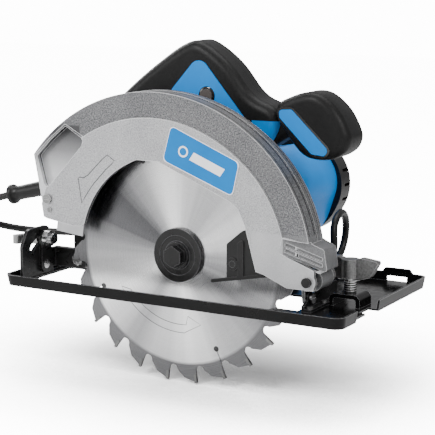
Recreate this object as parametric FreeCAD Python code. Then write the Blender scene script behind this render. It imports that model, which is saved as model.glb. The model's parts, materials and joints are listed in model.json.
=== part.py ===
import FreeCAD, Part
import math
import os

os.makedirs("parts", exist_ok=True)
V = FreeCAD.Vector

# Circular saw, millimetres.  X points forward, Y to the motor side, Z up.
# Everything is drawn about the blade centre, with the blade's mid-plane at
# y = 0, and save() moves it so that z = 0 is the underside of the plate.
BLADE_AT = V(-11, -44, 36)

# Blade and its clamping
BLADE_R = 117.5
BLADE_HALF = 0.9
TIP_HALF = 1.4
TEETH = 24
FIRST_TIP_DEG = -141.1
GULLET_R = 102.0
BORE_R = 15.0
FLANGE_R = 24.2
FLANGE_T = 4.0
SPINDLE_R = 8.0

# Sole plate
SOLE_Z = -36.0
SOLE_T = 2.0
PLATE_TOP = SOLE_Z + SOLE_T
LIP_TOP = -26.0
PLATE_X0, PLATE_X1 = -160.0, 182.0
PLATE_Y0, PLATE_Y1 = -50.0, 138.0
SLOT_X0, SLOT_X1 = -148.0, 123.5
SLOT_Y0, SLOT_Y1 = -28.0, 41.0

# Upper guard
GUARD_R = 140.0
GUARD_GROWTH = 26.0
GROWTH_FROM_DEG, GROWTH_TO_DEG = 55.0, 150.0
GUARD_START_DEG = -5.3
RIM_START_DEG = 4.5
NEAR_Y, FAR_Y = -22.0, 18.0
WALL = 4.0
FAR_STEP = 5.5
FOLD_INSET = 23.0
FOLD_DEPTH = 1.4

# Lower guard
LOWER_R = 124.0
LOWER_IN_R = 95.0
LOWER_Y0, LOWER_Y1 = -15.5, 10.5
LOWER_WALL = 1.5
LOWER_FROM_DEG, LOWER_TO_DEG = -1.5, 174.0

# Pivots
DEPTH_PIN = (137.0, -6.0)
PIN_R = 4.0
FIT = 0.05
BEVEL_Z = -24.0
CLAMP_R = 25.0
ARM_R = 257.3
ARM_HALF = 9.0
ARM_SLOT_HALF = 3.35
DEPTH_BOLT = (-119.5, 14.0)
FENCE_AT = (152.0, 32.0)

# Motor and gears
MOTOR = (23.6, 33.7)
MOTOR_R = 47.0
MOTOR_TOP = (40.0, 48.0)
MOTOR_TOP_R = 36.0
MOTOR_Y0, MOTOR_Y1, MOTOR_Y2 = 46.0, 165.0, 192.0
MODULE = 1.75
GEAR_TEETH, PINION_TEETH = 36, 11
GEAR_Y0, GEAR_Y1 = 25.0, 37.0
SHAFT_R = 5.0

# Handle
HANDLE_Y0, HANDLE_Y1 = 28.0, 66.0
HANDLE_MID = 47.0

# Cord
CORD_D = 7.0
CORD_Y = 34.0


def at(axis, u, v, w):
    """Point with (u, v) across the axis and w along it."""
    spots = {"x": V(w, u, v), "y": V(u, w, v), "z": V(u, v, w)}
    return spots[axis]


ALONG = {"x": V(1, 0, 0), "y": V(0, 1, 0), "z": V(0, 0, 1)}


def polar(radius, degrees, centre=(0.0, 0.0)):
    turn = math.radians(degrees)
    return (centre[0] + radius * math.cos(turn), centre[1] + radius * math.sin(turn))


def rod(axis, u, v, radius, w0, w1):
    return Part.makeCylinder(radius, w1 - w0, at(axis, u, v, w0), ALONG[axis])


def tube(axis, u, v, outer, inner, w0, w1):
    return rod(axis, u, v, outer, w0, w1).cut(rod(axis, u, v, inner, w0 - 1, w1 + 1))


def box(x0, x1, y0, y1, z0, z1):
    return Part.makeBox(x1 - x0, y1 - y0, z1 - z0, V(x0, y0, z0))


def rounded_wire(axis, corners, w):
    """Closed outline through (u, v) or (u, v, corner radius)."""
    edges = []
    ends = []
    count = len(corners)
    for i in range(count):
        here = V(corners[i][0], corners[i][1], 0)
        back = V(corners[i - 1][0], corners[i - 1][1], 0) - here
        ahead = V(corners[(i + 1) % count][0], corners[(i + 1) % count][1], 0) - here
        radius = corners[i][2] if len(corners[i]) > 2 else 0.0
        if radius == 0.0:
            ends.append((here, None, here))
            continue
        back.normalize()
        ahead.normalize()
        half = math.acos(max(-1.0, min(1.0, back.dot(ahead)))) / 2
        middle = back + ahead
        middle.normalize()
        reach = radius / math.tan(half)
        depth = radius / math.sin(half) - radius
        ends.append((here + back * reach, here + middle * depth, here + ahead * reach))
    for i in range(count):
        start, bend, stop = ends[i]
        following = ends[(i + 1) % count][0]
        if bend is not None:
            edges.append(Part.Arc(*[at(axis, p.x, p.y, w) for p in (start, bend, stop)]).toShape())
        if (following - stop).Length > 1e-6:
            edges.append(Part.makeLine(at(axis, stop.x, stop.y, w), at(axis, following.x, following.y, w)))
    return Part.Wire(Part.__sortEdges__(edges))


def plate(axis, corners, w0, w1):
    return Part.Face(rounded_wire(axis, corners, w0)).extrude(ALONG[axis] * (w1 - w0))


def smooth_plate(axis, points, w0, w1):
    """Prism whose outline is one smooth closed curve through the points."""
    curve = Part.BSplineCurve()
    curve.interpolate([at(axis, u, v, w0) for u, v in points], PeriodicFlag=True)
    return Part.Face(Part.Wire(curve.toShape())).extrude(ALONG[axis] * (w1 - w0))


def hull(axis, centre_a, r_a, centre_b, r_b, w0, w1):
    """Prism round two circles and their outer tangents."""
    du = centre_b[0] - centre_a[0]
    dv = centre_b[1] - centre_a[1]
    gap = math.hypot(du, dv)
    aim = math.degrees(math.atan2(dv, du))
    lean = math.degrees(math.acos((r_a - r_b) / gap))
    a_up, a_down = polar(r_a, aim + lean, centre_a), polar(r_a, aim - lean, centre_a)
    b_up, b_down = polar(r_b, aim + lean, centre_b), polar(r_b, aim - lean, centre_b)
    a_back = polar(r_a, aim + 180, centre_a)
    b_front = polar(r_b, aim, centre_b)

    def spot(pair):
        return at(axis, pair[0], pair[1], w0)

    edges = [Part.makeLine(spot(a_up), spot(b_up)),
             Part.Arc(spot(b_up), spot(b_front), spot(b_down)).toShape(),
             Part.makeLine(spot(b_down), spot(a_down)),
             Part.Arc(spot(a_down), spot(a_back), spot(a_up)).toShape()]
    return Part.Face(Part.Wire(edges)).extrude(ALONG[axis] * (w1 - w0))


def soften(shape, axis, radius, levels):
    """Round the edges of a prism that lie at the given levels along its axis."""
    spots = {"x": 0, "y": 1, "z": 2}
    index = spots[axis]
    chosen = []
    for edge in shape.Edges:
        low = [edge.BoundBox.XMin, edge.BoundBox.YMin, edge.BoundBox.ZMin][index]
        high = [edge.BoundBox.XMax, edge.BoundBox.YMax, edge.BoundBox.ZMax][index]
        if high - low < 0.01 and any(abs(low - level) < 0.01 for level in levels):
            chosen.append(edge)
    try:
        rounded = shape.makeFillet(radius, chosen)
        if rounded.isValid() and rounded.Volume > 0:
            return rounded
    except Exception:
        pass
    print("not rounded:", radius, levels)
    return shape


def join(pieces):
    whole = pieces[0]
    if len(pieces) > 1:
        whole = whole.fuse(pieces[1:])
    return whole.removeSplitter()


def group(pieces):
    return Part.makeCompound(pieces)


def arc_band(centre, inner, outer, start_deg, stop_deg, y0, y1):
    """Flat sector of a ring, extruded along Y."""
    middle = (start_deg + stop_deg) / 2
    a = [at("y", *polar(outer, d, centre), y0) for d in (start_deg, middle, stop_deg)]
    b = [at("y", *polar(inner, d, centre), y0) for d in (stop_deg, middle, start_deg)]
    edges = [Part.Arc(*a).toShape(), Part.makeLine(a[2], b[0]),
             Part.Arc(*b).toShape(), Part.makeLine(b[2], a[0])]
    return Part.Face(Part.Wire(edges)).extrude(V(0, y1 - y0, 0))


def hexagon(axis, u, v, across, w0, w1):
    corners = [polar(across / math.sqrt(3), 30 + 60 * i, (u, v)) for i in range(6)]
    return plate(axis, corners, w0, w1)


def pan_screw(axis, u, v, radius, w_seat, w_top):
    """Round screw head with a straight slot."""
    low, high = min(w_seat, w_top), max(w_seat, w_top)
    head = rod(axis, u, v, radius, low, high)
    half = 0.16 * radius
    sink = 0.45 * (w_top - w_seat)
    levels = sorted((w_top - sink, w_top + sink))
    slot = plate(axis, [(u - 2 * radius, v - half), (u + 2 * radius, v - half),
                        (u + 2 * radius, v + half), (u - 2 * radius, v + half)], *levels)
    return head.cut(slot)


def save(name, shape):
    moved = shape.copy()
    moved.translate(BLADE_AT)
    moved.exportStep("parts/" + name + ".step")
    if not shape.isValid():
        print("not valid:", name)


# ---------------------------------------------------------------- base

def base_plate():
    flare = 1.5
    corner = 9.0

    def ring(inset, z):
        return rounded_wire("z", [(PLATE_X0 + inset, PLATE_Y0 + inset, corner),
                                  (PLATE_X1 - inset, PLATE_Y0 + inset, corner),
                                  (PLATE_X1 - inset, PLATE_Y1 - inset, corner),
                                  (PLATE_X0 + inset, PLATE_Y1 - inset, corner)], z)

    outside = Part.makeLoft([ring(flare, SOLE_Z), ring(0, LIP_TOP)], True)
    inside = Part.makeLoft([ring(flare + SOLE_T, PLATE_TOP), ring(SOLE_T, LIP_TOP + 0.01)], True)
    tray = outside.cut(inside)
    slot = plate("z", [(SLOT_X0, SLOT_Y0, 6), (SLOT_X1, SLOT_Y0, 6),
                       (SLOT_X1, SLOT_Y1, 6), (SLOT_X0, SLOT_Y1, 6)], SOLE_Z - 1, PLATE_TOP + 1)
    sight_wide = box(PLATE_X1 - 11, PLATE_X1 + 5, 8, 28, SOLE_Z - 1, LIP_TOP + 1)
    sight_near = box(PLATE_X1 - 5, PLATE_X1 + 5, -18, 8.01, SOLE_Z - 1, LIP_TOP + 1)
    fence_gap = box(142, 162, PLATE_Y1 - 8, PLATE_Y1 + 2, PLATE_TOP, PLATE_TOP + 4.5)
    tab = plate("y", [(136, LIP_TOP - 1), (140, LIP_TOP + 4, 2), (164, LIP_TOP + 4, 2), (168, LIP_TOP - 1)],
                PLATE_Y1 - SOLE_T, PLATE_Y1)
    return join([tray, tab]).cut([slot, sight_wide, sight_near, fence_gap])


def sight_tongue():
    """Thin tongue over the front corner of the blade slot."""
    return plate("z", [(103, -31, 3), (128, -31, 1), (128, -17.5, 1), (103, -17.5, 6)], PLATE_TOP, PLATE_TOP + 1.7)


def front_bracket():
    x0, x1 = 128.0, 130.5
    upright = plate("x", [(-14, PLATE_TOP), (-14, -29, 1), (-7, -26), (-7, -18.5, 4),
                          (52, -18.5, 3), (52, PLATE_TOP)], x0, x1)
    boss = rod("x", 0, BEVEL_Z, 7, x0, x1)
    foot = box(x0, x1 + 6.5, -14, 52, PLATE_TOP, PLATE_TOP + 2.5)
    bore = rod("x", 0, BEVEL_Z, PIN_R + FIT, x0 - 1, x1 + 1)
    return join([upright, boss, foot]).cut(bore)


def rear_quadrant():
    x0, x1 = -153.0, -150.0
    fan = plate("x", [(-33, PLATE_TOP), (-33, -3, 6), (-24, 12, 8), (10, 12, 8),
                      (13, -20, 3), (15, PLATE_TOP)], x0, x1)
    foot = box(x0 - 2.8, x1, -33, 15, PLATE_TOP, PLATE_TOP + 2.5)
    inner, outer = CLAMP_R - ARM_SLOT_HALF, CLAMP_R + ARM_SLOT_HALF
    slot_faces = []
    start, middle, stop = 90, 112.5, 135
    centre = (0, BEVEL_Z)
    a = [at("x", *polar(outer, d, centre), x0 - 1) for d in (start, middle, stop)]
    b = [at("x", *polar(inner, d, centre), x0 - 1) for d in (stop, middle, start)]
    edges = [Part.Arc(*a).toShape(), Part.makeLine(a[2], b[0]),
             Part.Arc(*b).toShape(), Part.makeLine(b[2], a[0])]
    slot_faces.append(Part.Face(Part.Wire(edges)).extrude(V(x1 - x0 + 2, 0, 0)))
    for degrees in (start, stop):
        end = polar(CLAMP_R, degrees, centre)
        slot_faces.append(rod("x", end[0], end[1], ARM_SLOT_HALF, x0 - 1, x1 + 1))
    bore = rod("x", 0, BEVEL_Z, PIN_R + FIT, x0 - 1, x1 + 1)
    return join([fan, foot]).cut(slot_faces + [bore])


def base_rivets():
    heads = []
    for x, y in ((133.8, -9), (133.8, 18), (133.8, 47)):
        heads.append(rod("z", x, y, 2.6, PLATE_TOP + 2.5, PLATE_TOP + 4))
    for y in (-26, 8):
        heads.append(rod("z", -154.4, y, 1.2, PLATE_TOP + 2.5, PLATE_TOP + 3.5))
    return group(heads)


def fence_bridge():
    top = -23.0
    arch = plate("y", [(137.5, PLATE_TOP), (137.5, top, 6), (166.5, top, 6), (166.5, PLATE_TOP),
                       (162.5, PLATE_TOP), (162.5, -26.5, 2), (141.5, -26.5, 2), (141.5, PLATE_TOP)], 20, 44)
    return arch.cut(rod("z", *FENCE_AT, 5.5 + FIT, top - 5, top + 1))


def fence_wing_bolt():
    x, y = FENCE_AT
    stem = rod("z", x, y, 5.5, -27, -9)
    boss = rod("z", x, y, 8, -10, 6)
    wings = plate("y", [(x - 28, 6, 2), (x - 11, 8, 3), (x, 4), (x + 11, 8, 3), (x + 28, 6, 2),
                        (x + 20, -8, 3), (x + 8, -12, 3), (x - 8, -12, 3), (x - 20, -8, 3)],
                  y - 4, y + 4)
    threads = [tube("z", x, y, 6, 4.6, -26.2 + 2 * i, -25.4 + 2 * i) for i in range(8)]
    return join([stem, boss, wings]).cut(threads)


# ---------------------------------------------------------------- tilting bracket

def front_tilt_bracket():
    px, pz = DEPTH_PIN
    boss = rod("y", px, pz, 9.5, -12, 10)
    lug = rod("x", 0, BEVEL_Z, 6.5, 124.6, 127.6)
    neck = box(124.6, 127.6, -6.5, 6.5, BEVEL_Z, -13)
    bridge = plate("y", [(124.6, -13.5), (128, -13.5), (140, -10), (140, -3), (127.8, -3), (124.6, -9)],
                   -6.5, 6.5)
    bores = [rod("y", px, pz, PIN_R, -13, 11), rod("x", 0, BEVEL_Z, PIN_R, 124, 128)]
    return join([boss, lug, neck, bridge]).cut(bores)


def rear_tilt_bracket():
    x0, x1 = -149.5, -146.5
    web = hull("x", (0, BEVEL_Z), 8, (0, BEVEL_Z + CLAMP_R), 7, x0, x1)
    arm = box(x0, x1, 0, 20, -28, -10)
    wing = plate("y", [(x0, -28), (-112, -28, 4), (-112, -10, 4), (x0, -10)], 14, 20)
    bores = [rod("x", 0, BEVEL_Z, PIN_R, x0 - 1, x1 + 1),
             rod("x", 0, BEVEL_Z + CLAMP_R, 3 + FIT, x0 - 1, x1 + 1),
             rod("y", -120, -19, 3, 13, 21)]
    return join([web, arm, wing]).cut(bores)


def bevel_pins():
    front = join([rod("x", 0, BEVEL_Z, PIN_R, 124.6, 131),
                  pan_screw("x", 0, BEVEL_Z, 5, 130.8, 133)])
    rear = join([rod("x", 0, BEVEL_Z, PIN_R, -153.5, -146.5),
                 rod("x", 0, BEVEL_Z, 6, -155.5, -153.3)])
    return group([front, rear])


def depth_pin():
    px, pz = DEPTH_PIN
    shank = rod("y", px, pz, PIN_R, -22.5, 20)
    head = rod("y", px, pz, 4.2, -25, -22.3)
    clip = rod("y", px, pz, 5.5, 18.3, 20.5)
    return join([shank, head, clip])


def depth_arm():
    px, pz = DEPTH_PIN
    band = arc_band((px, pz), ARM_R - ARM_HALF, ARM_R + ARM_HALF, 149.5, 184.5, 20, 23)
    slot = arc_band((px, pz), ARM_R - ARM_SLOT_HALF, ARM_R + ARM_SLOT_HALF, 151, 176, 19, 24)
    ends = []
    for degrees in (151, 176):
        u, v = polar(ARM_R, degrees, (px, pz))
        ends.append(rod("y", u, v, ARM_SLOT_HALF, 19, 24))
    return band.cut([slot, rod("y", -120, -19, 3, 19, 24)] + ends)


def depth_arm_screw():
    return join([pan_screw("y", -120, -19, 6, 14, 11.5), rod("y", -120, -19, 3, 13.9, 24)])


def bevel_nut():
    v = BEVEL_Z + CLAMP_R
    return join([rod("x", 0, v, 7.5, -146.5, -141), rod("x", 0, v, 5, -141, -137)]).cut(
        rod("x", 0, v, 3 + FIT, -147, -140))


def bevel_wing_bolt():
    v = BEVEL_Z + CLAMP_R
    shank = rod("x", 0, v, 3, -156, -140.5)
    boss = rod("x", 0, v, 7, -162, -153.4)
    wings = plate("z", [(-157, -5), (-164, -23, 3), (-171, -21, 2), (-165, -4), (-165, 4),
                        (-171, 21, 2), (-164, 23, 3), (-157, 5)], v - 4, v + 4)
    return join([shank, boss, wings])


# ---------------------------------------------------------------- upper guard

def guard_path(inset, from_deg, y):
    """Outer curve of the guard from the front up and over to the rear corner."""
    radius = GUARD_R - inset
    low = at("y", *polar(radius, from_deg), y)
    mid = at("y", *polar(radius, (from_deg + GROWTH_FROM_DEG) / 2), y)
    top = at("y", *polar(radius, GROWTH_FROM_DEG), y)
    points = []
    steps = 6
    span = GROWTH_TO_DEG - GROWTH_FROM_DEG
    for i in range(steps + 1):
        share = i / steps
        grown = radius + GUARD_GROWTH * share ** 1.6
        points.append(at("y", *polar(grown, GROWTH_FROM_DEG + span * share), y))
    curve = Part.BSplineCurve()
    curve.interpolate(points)
    return [Part.Arc(low, mid, top).toShape(), curve.toShape()], low, points[-1]


def guard_slab(inset, from_deg, rest, y0, y1):
    """Guard region closed by the straight points in rest, extruded along Y."""
    edges, low, high = guard_path(inset, from_deg, y0)
    spots = [high] + [at("y", u, v, y0) for u, v in rest] + [low]
    for first, second in zip(spots, spots[1:]):
        edges.append(Part.makeLine(first, second))
    return Part.Face(Part.Wire(edges)).extrude(V(0, y1 - y0, 0))


def window(y0, y1):
    """Opening in the near wall that shows the blade."""
    low = polar(91, 165)
    arc_mid = polar(91, 138)
    arc_end = polar(91, 110)
    spots = [at("y", *p, y0) for p in (low, arc_mid, arc_end)]
    edges = [Part.Arc(*spots).toShape()]
    corners = [arc_end, (-8, 85.4), (63, 56), (71, 50), (77.8, 36), (88.4, -2), (88.4, -60), (-100, -60),
               (-100, 20.2), (-92.5, 20.6), (-89, 22.4), low]
    for first, second in zip(corners, corners[1:]):
        edges.append(Part.makeLine(at("y", *first, y0), at("y", *second, y0)))
    return Part.Face(Part.Wire(edges)).extrude(V(0, y1 - y0, 0))


def behind_slant(depth):
    """Everything in front of the nose's slanting cheek, which runs back towards its tip."""
    start, stop = (111.0, NEAR_Y), (151.0, -12.0)
    return plate("z", [(start[0], -60), (170, -60), (170, stop[1] + depth + 4.75),
                       (start[0], start[1] + depth)], -10, 60)


def guard_nose():
    """Tapered nose that carries the ribbed cheek."""
    block = plate("y", [(109, 17), (151, 1.5, 2), (148, 21, 2), (136, 26.5), (112, 30)], NEAR_Y, 10)
    inside = rod("y", 0, 0, LOWER_R + 3, NEAR_Y + 5, 11)
    return block.cut(inside)


def nose_cuts():
    cheek = plate("y", [(110, 16.4), (143, 4.4), (165, -3), (165, 27), (133, 27), (113, 29)], -60, -8)
    cuts = [cheek.common(behind_slant(0))]
    for lift in (2.2, 7.2):
        groove = plate("y", [(115, 15.5 + lift, 1), (147, 3.6 + lift, 1), (146.6, 7.0 + lift, 1),
                             (116, 18.5 + lift, 1)], -60, -8)
        cuts.append(groove.common(behind_slant(1.6)))
    return cuts


def upper_guard():
    near_rest = [(-135, 38), (-133, 26), (-129, 24.5), (-100, 20.2), (-93, 19.6), (60, -20), (88, -2),
                 (95, -3.5), (120, -13)]
    near = guard_slab(0, GUARD_START_DEG, near_rest, NEAR_Y + FOLD_DEPTH, NEAR_Y + WALL)
    raised = guard_slab(FOLD_INSET, GUARD_START_DEG, near_rest[:-1] + [(118, -13)], NEAR_Y, NEAR_Y + WALL)
    lobe = plate("y", [(100, -4), (106, 17), (111, 16.4), (143, 4.4), (143, -13), (118, -13)],
                 NEAR_Y, NEAR_Y + WALL)
    near = join([near, raised, lobe]).cut(window(NEAR_Y - 1, NEAR_Y + WALL + 1))
    far_rest = [(-130, 38), (-129, 12), (-116, 6), (-60, -4), (-35, -6), (-22, -28), (0, -35.5),
                (22, -28), (36, -6), (88, -4), (120, -13)]
    far = guard_slab(FAR_STEP, GUARD_START_DEG, far_rest, FAR_Y - WALL, FAR_Y)
    band_near = guard_slab(0, RIM_START_DEG, [(-135, 38), (-133, 26)], NEAR_Y + FOLD_DEPTH, WALL)
    hollow_near = guard_slab(WALL, RIM_START_DEG - 4, [(-131, 38), (-129, 20), (-129, -60), (136, -60)],
                             NEAR_Y - 1, WALL)
    band_far = guard_slab(FAR_STEP, RIM_START_DEG, [(-130, 38), (-129, 26)], WALL, FAR_Y)
    hollow_far = guard_slab(FAR_STEP + WALL, RIM_START_DEG - 4,
                            [(-126, 38), (-125, 20), (-125, -60), (130, -60)], WALL - 6, FAR_Y + 1)
    line_out = guard_slab(-1, RIM_START_DEG - 2, [(-140, 38), (-139, 20)], -5, -3)
    line_in = guard_slab(1.6, RIM_START_DEG - 4, [(-133.4, 38), (-131, 20), (-129, -60), (136, -60)], -6, -2)
    rim = join([band_near.cut([hollow_near, line_out.cut(line_in)]), band_far.cut(hollow_far)])
    px, pz = DEPTH_PIN
    bosses = [rod("y", px, pz, 7.5, NEAR_Y, NEAR_Y + WALL), rod("y", px, pz, 7.5, FAR_Y - WALL, FAR_Y),
              rod("y", *DEPTH_BOLT, 9.5, FAR_Y - WALL, FAR_Y)]
    scoop = plate("y", [(-108, 113, 3), (-84.5, 100.5, 3), (-87, 91, 3), (-125, 51.5, 4), (-133, 49, 2),
                        (-142, 83, 2), (-125, 99, 20)], NEAR_Y + 1, -12.5)
    pocket = plate("y", [(-107.5, 111, 3), (-88, 100, 3), (-89.5, 94, 3), (-126, 55, 5), (-132, 54, 3),
                         (-139.5, 82, 3), (-124.5, 97, 20)], NEAR_Y - 1, -15)
    body = join([near, rim, guard_nose()] + bosses + [scoop])
    cuts = [pocket, rod("y", px, pz, PIN_R + FIT, -23, 19), rod("y", 0, 0, 24, FAR_Y - WALL - 1, FAR_Y + 1),
            rod("y", *DEPTH_BOLT, 3, FAR_Y - WALL - 1, FAR_Y + 1)]
    return body.cut(cuts + nose_cuts())


def side_label():
    return plate("y", [(5, 118.3, 4), (72.7, 90.4, 4), (65.9, 60.6, 4), (-3.7, 87.1, 4)], NEAR_Y - 0.6, NEAR_Y)


def guard_screws():
    return group([pan_screw("y", -128, 43, 4.5, NEAR_Y, NEAR_Y - 2), rod("y", -126, 33, 2.5, NEAR_Y - 1, NEAR_Y)])


# ---------------------------------------------------------------- lower guard

def lower_guard():
    a, b = LOWER_FROM_DEG, LOWER_TO_DEG
    near = arc_band((0, 0), LOWER_IN_R, LOWER_R, a, b, LOWER_Y0, LOWER_Y0 + LOWER_WALL)
    rim = arc_band((0, 0), LOWER_R - LOWER_WALL, LOWER_R, a, b, LOWER_Y0, LOWER_Y1)
    far = arc_band((0, 0), 24.05, LOWER_R, a, b, LOWER_Y1 - LOWER_WALL, LOWER_Y1)
    hub = tube("y", 0, 0, 29, 24.05, LOWER_Y1 - LOWER_WALL, 13)
    return join([near, rim, far, hub])


LEVER_FACE = NEAR_Y + WALL + 0.4


def guard_lever():
    """Finger lever of the lower guard, which passes inside the upper guard's near wall."""
    grip = plate("y", [(57, -13, 1), (91, -7, 1), (91, 18, 4), (75, 33, 5), (57, 18, 3)], -16.5, -5)
    tongue = plate("y", [(88, 0), (101, 0), (98, 20), (86, 20)], -14, -5)
    shelf = plate("y", [(42, -17.5, 1), (107, -5, 1), (107, -2, 1), (42, -14.5, 1)], LEVER_FACE, -15)
    rib = plate("y", [(68, -12), (74, -11), (74, 24, 2), (68, 20, 2)], LEVER_FACE, -16.4)
    boss = rod("y", 63, 1, 5.5, LEVER_FACE, -16.4)
    return join([grip, tongue, shelf, rib, boss]).cut([rod("y", 63, 1, 3, -20, -8), rod("y", 0, 0, 56, -13, 0)])


def lever_screw():
    return rod("y", 63, 1, 3, LEVER_FACE, -8)


# ---------------------------------------------------------------- spindle and blade

def blade():
    pitch = 360.0 / TEETH
    edges = []
    last = None
    first = None
    for k in range(TEETH):
        tip = FIRST_TIP_DEG + pitch * k
        face = at("y", *polar(BLADE_R - 0.3, tip), -BLADE_HALF)
        root = at("y", *polar(GULLET_R + 4.5, tip + 0.2), -BLADE_HALF)
        bowl = at("y", *polar(GULLET_R, tip + 2.2), -BLADE_HALF)
        rise = at("y", *polar(GULLET_R + 4.0, tip + 4.8), -BLADE_HALF)
        back = at("y", *polar(BLADE_R - 4.5, tip + 8.5), -BLADE_HALF)
        if last is not None:
            edges.append(Part.makeLine(last, face))
        else:
            first = face
        edges.append(Part.makeLine(face, root))
        edges.append(Part.Arc(root, bowl, rise).toShape())
        edges.append(Part.makeLine(rise, back))
        last = back
    edges.append(Part.makeLine(last, first))
    disc = Part.Face(Part.Wire(edges)).extrude(V(0, 2 * BLADE_HALF, 0))
    cuts = [rod("y", 0, 0, BORE_R, -2, 2)]
    for k in range(4):
        degrees = FIRST_TIP_DEG + pitch * 5 + 0.9 + 90 * k
        u, v = polar(90, degrees)
        cuts.append(rod("y", u, v, 2.6, -2, 2))
        slit = box(90, 106, -2, 2, -0.6, 0.6)
        slit.rotate(V(0, 0, 0), V(0, -1, 0), degrees)
        cuts.append(slit)
    return disc.cut(cuts + tip_blocks(2.0))


def tip_blocks(half):
    blocks = []
    for k in range(TEETH):
        block = box(BLADE_R - 8, BLADE_R, -half, half, -2.4, 0)
        block.rotate(V(0, 0, 0), V(0, -1, 0), FIRST_TIP_DEG + 360.0 / TEETH * k)
        blocks.append(block)
    return blocks


def flange(y0, y1, bore):
    return rod("y", 0, 0, FLANGE_R, y0, y1).cut(rod("y", 0, 0, bore, y0 - 1, y1 + 1))


def inner_flange():
    pilot = rod("y", 0, 0, BORE_R, -BLADE_HALF, BLADE_HALF)
    disc = rod("y", 0, 0, FLANGE_R - 0.7, BLADE_HALF, BLADE_HALF + FLANGE_T)
    return join([pilot, disc]).cut(rod("y", 0, 0, SPINDLE_R, -2, 8))


def outer_flange():
    disc = flange(-BLADE_HALF - FLANGE_T, -BLADE_HALF, SHAFT_R)
    return disc.cut(tube("y", 0, 0, 18, 13, -BLADE_HALF - FLANGE_T - 1, -BLADE_HALF - FLANGE_T + 0.6))


def blade_bolt():
    washer = rod("y", 0, 0, 12, -6.9, -BLADE_HALF - FLANGE_T)
    head = hexagon("y", 0, 0, 17, -14, -6.9)
    return join([washer, head, rod("y", 0, 0, SHAFT_R, -5, 18)])


def spindle():
    return rod("y", 0, 0, SPINDLE_R, -BLADE_HALF, 45).cut(rod("y", 0, 0, SHAFT_R, -2, 18))


def toothed(centre, teeth, bore, phase_deg):
    """Slim-toothed spur gear about an axis along Y."""
    pitch_r = MODULE * teeth / 2
    root_r = pitch_r - 1.25 * MODULE
    tip_r = pitch_r + MODULE
    root_half = math.degrees(1.15 / root_r)
    tip_half = math.degrees(0.5 / tip_r)
    corners = []
    for k in range(teeth):
        mid = phase_deg + 360.0 / teeth * k
        corners.append(polar(root_r, mid - root_half, centre))
        corners.append(polar(tip_r, mid - tip_half, centre))
        corners.append(polar(tip_r, mid + tip_half, centre))
        corners.append(polar(root_r, mid + root_half, centre))
    gear = plate("y", corners, GEAR_Y0, GEAR_Y1)
    if bore > 0:
        gear = gear.cut(rod("y", centre[0], centre[1], bore, GEAR_Y0 - 1, GEAR_Y1 + 1))
    return gear


LINE_DEG = math.degrees(math.atan2(MOTOR[1], MOTOR[0]))


def drive_gear():
    return toothed((0, 0), GEAR_TEETH, SPINDLE_R, LINE_DEG + 180.0 / GEAR_TEETH)


def armature_shaft():
    pinion = toothed(MOTOR, PINION_TEETH, 0, LINE_DEG + 180)
    return join([pinion, rod("y", *MOTOR, SHAFT_R, 22, 172)])


def armature_core():
    body = tube("y", *MOTOR, 22, SHAFT_R, 75, 125)
    coils = [tube("y", *MOTOR, 19, SHAFT_R, 66, 75), tube("y", *MOTOR, 19, SHAFT_R, 125, 134)]
    slots = []
    for k in range(12):
        u, v = polar(22, 30 * k, MOTOR)
        slots.append(rod("y", u, v, 1.6, 74, 126))
    return join([body] + coils).cut(slots)


def cooling_fan():
    disc = tube("y", *MOTOR, 37, SHAFT_R, 50, 52)
    hub = tube("y", *MOTOR, 10, SHAFT_R, 52, 62)
    vanes = []
    for k in range(12):
        vane = box(9, 36, 51.9, 61, -0.8, 0.8)
        vane.rotate(V(0, 0, 0), V(0, -1, 0), 30 * k)
        vane.translate(V(MOTOR[0], 0, MOTOR[1]))
        vanes.append(vane)
    return join([disc, hub] + vanes)


# ---------------------------------------------------------------- housings

def gear_envelope():
    drum = hull("y", (0, 0), 35.5, MOTOR, 30, FAR_Y, 40)
    flange_ring = rod("y", *MOTOR, 44, 40, MOTOR_Y0)
    return join([drum, flange_ring])


def motor_envelope(grow=0.0):
    return hull("y", MOTOR, MOTOR_R + grow, MOTOR_TOP, MOTOR_TOP_R + grow, MOTOR_Y0, MOTOR_Y1)


def gear_housing():
    room = [rod("y", 0, 0, 33.9, 22, 38), rod("y", *MOTOR, 14, 21, 38),
            rod("y", 0, 0, 24.1, FAR_Y - 1, 22.1), rod("y", 0, 0, 14, 37.9, 45.5),
            rod("y", *MOTOR, 13, 37.9, 47)]
    lock_boss = tube("x", 31, 0, 7.5, 4.6, -44, -33.5)
    lock_bore = rod("x", 31, 0, 4.6, -45, -33)
    pad = rod("y", 0, 0, 17.5, 40, 46)
    return join([gear_envelope(), lock_boss, pad]).cut(room + [lock_bore])


def housing_screws():
    heads = []
    for degrees in (20, 312, 345):
        u, v = polar(39, degrees, MOTOR)
        heads.append(rod("y", u, v, 3.5, 36.5, 40))
    return group(heads)


def motor_housing():
    shell = soften(motor_envelope(), "y", 5, [MOTOR_Y0])
    room = rod("y", *MOTOR, 43, 49, MOTOR_Y1 + 1)
    mouth = rod("y", *MOTOR, 13, MOTOR_Y0 - 1, 50)
    cap_bores = rod("z", MOTOR[0], 147, 7, MOTOR[1] - 60, MOTOR[1] + 60)
    spindle_room = rod("y", 0, 0, 18, MOTOR_Y0 - 1, MOTOR_Y0 + 0.5)
    return shell.cut([room, mouth, cap_bores, spindle_room])


def motor_end_cover():
    shell = soften(hull("y", (33, 42), 46, (38, 45), 43, MOTOR_Y1, MOTOR_Y2), "y", 9, [MOTOR_Y2])
    room = rod("y", *MOTOR, 30, MOTOR_Y1 - 1, 180)
    web = tube("y", *MOTOR, 30, 13, MOTOR_Y1, 172)
    grooves = []
    for k in range(3):
        z = MOTOR[1] - 4 + 14 * k
        grooves.append(box(60, 90, 172, 186, z, z + 3))
    return join([shell.cut([room] + grooves), web])


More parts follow.
